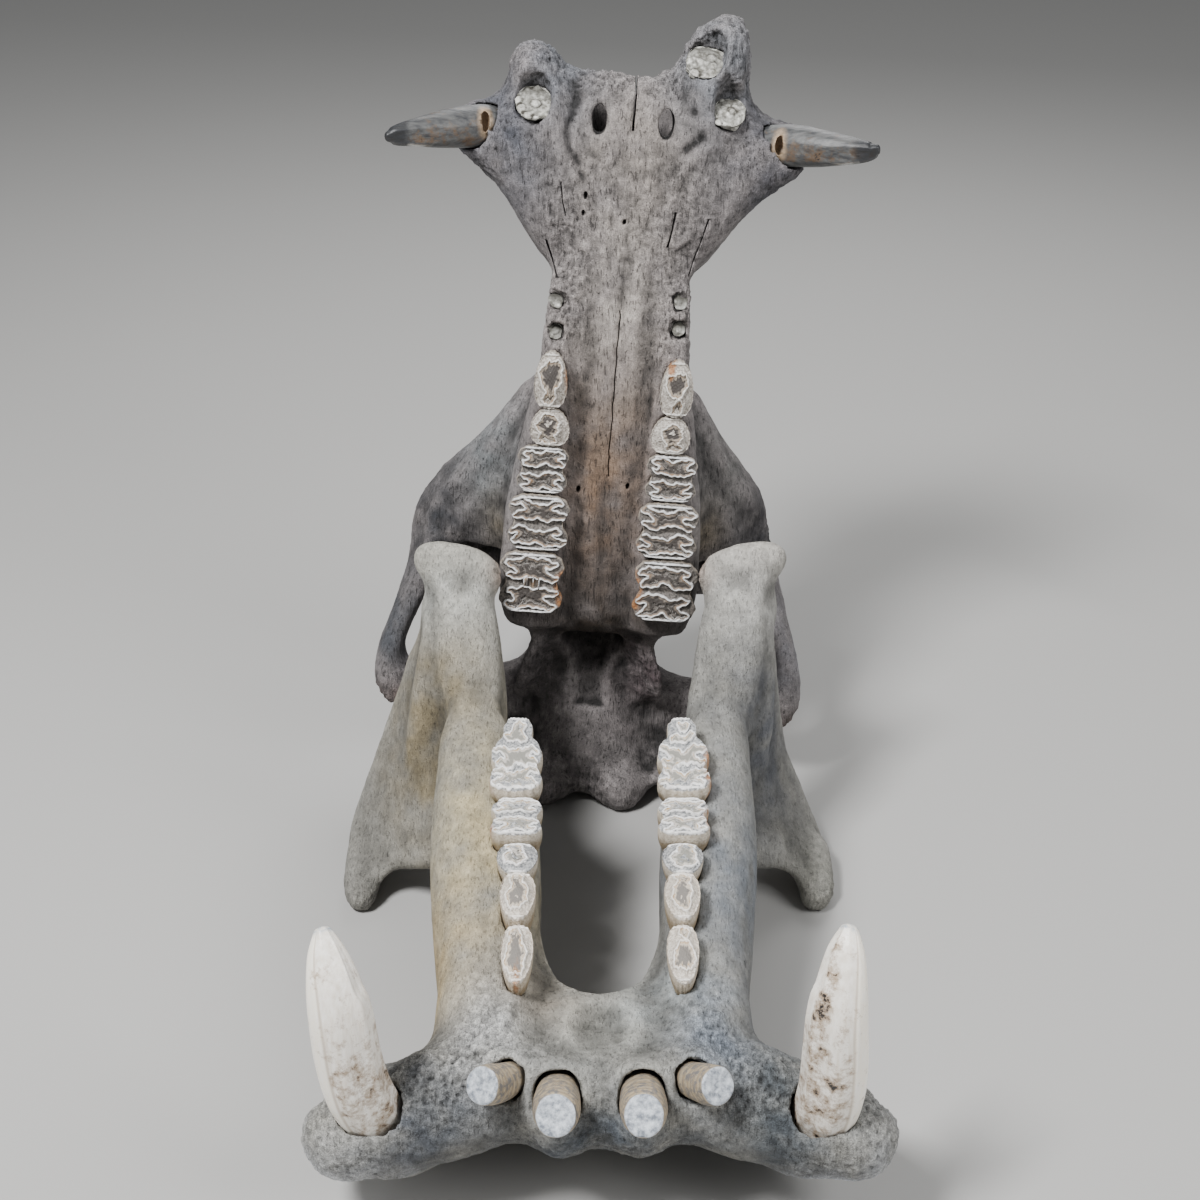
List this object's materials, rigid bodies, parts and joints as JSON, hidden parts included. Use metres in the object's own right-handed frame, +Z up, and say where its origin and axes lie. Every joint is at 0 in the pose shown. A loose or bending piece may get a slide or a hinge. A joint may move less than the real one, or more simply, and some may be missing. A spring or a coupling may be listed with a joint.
{
  "type": "hippo skull",
  "caption": "Hippopotamus skull with its jaws wide open: the cranium stands on its occiput and the lower jaw lies in front of it.",
  "frame": {"origin": "middle of the whole object's bounding box, on the floor that it stands on", "axes": "+Y from the chin back to the cranium, +X to the animal's left, +Z up"},
  "size_m": [0.4059, 0.6668, 0.6367],
  "materials": {
    "bone_cranium": "weathered grey-brown bone, pitted and finely cracked",
    "bone_mandible": "cream to blue-grey bone, smooth on the flanks and rough at the chin",
    "teeth_upper": "white enamel folds on grey-brown dentine",
    "teeth_lower": "white enamel folds with grey pits",
    "canine_upper": "grey-brown ivory with dark tips",
    "canine_lower": "ivory with brown and black stains",
    "incisor": "grey ivory ends with yellowish sides",
    "root_remains": "chalky whitish root remains"
  },
  "bodies": {
    "root": {"cranium": "bone_cranium", "mandible": "bone_mandible", "upper_canine_left": "canine_upper", "upper_canine_right": "canine_upper", "upper_p3_left": "teeth_upper", "upper_p4_left": "teeth_upper", "upper_m1_left": "teeth_upper", "upper_m2_left": "teeth_upper", "upper_m3_left": "teeth_upper", "upper_p3_right": "teeth_upper", "upper_p4_right": "teeth_upper", "upper_m1_right": "teeth_upper", "upper_m2_right": "teeth_upper", "upper_m3_right": "teeth_upper", "root_upper_i1_left": "root_remains", "root_upper_i2_left": "root_remains", "root_upper_i1_right": "root_remains", "root_upper_p1_left": "root_remains", "root_upper_p2_left": "root_remains", "root_upper_p1_right": "root_remains", "root_upper_p2_right": "root_remains", "lower_canine_left": "canine_lower", "lower_canine_right": "canine_lower", "lower_i1_left": "incisor", "lower_i1_right": "incisor", "lower_i2_left": "incisor", "lower_i2_right": "incisor", "lower_p3_left": "teeth_lower", "lower_p4_left": "teeth_lower", "lower_m1_left": "teeth_lower", "lower_m2_left": "teeth_lower", "lower_m3_left": "teeth_lower", "lower_p3_right": "teeth_lower", "lower_p4_right": "teeth_lower", "lower_m1_right": "teeth_lower", "lower_m2_right": "teeth_lower", "lower_m3_right": "teeth_lower"}
  },
  "joints": []
}
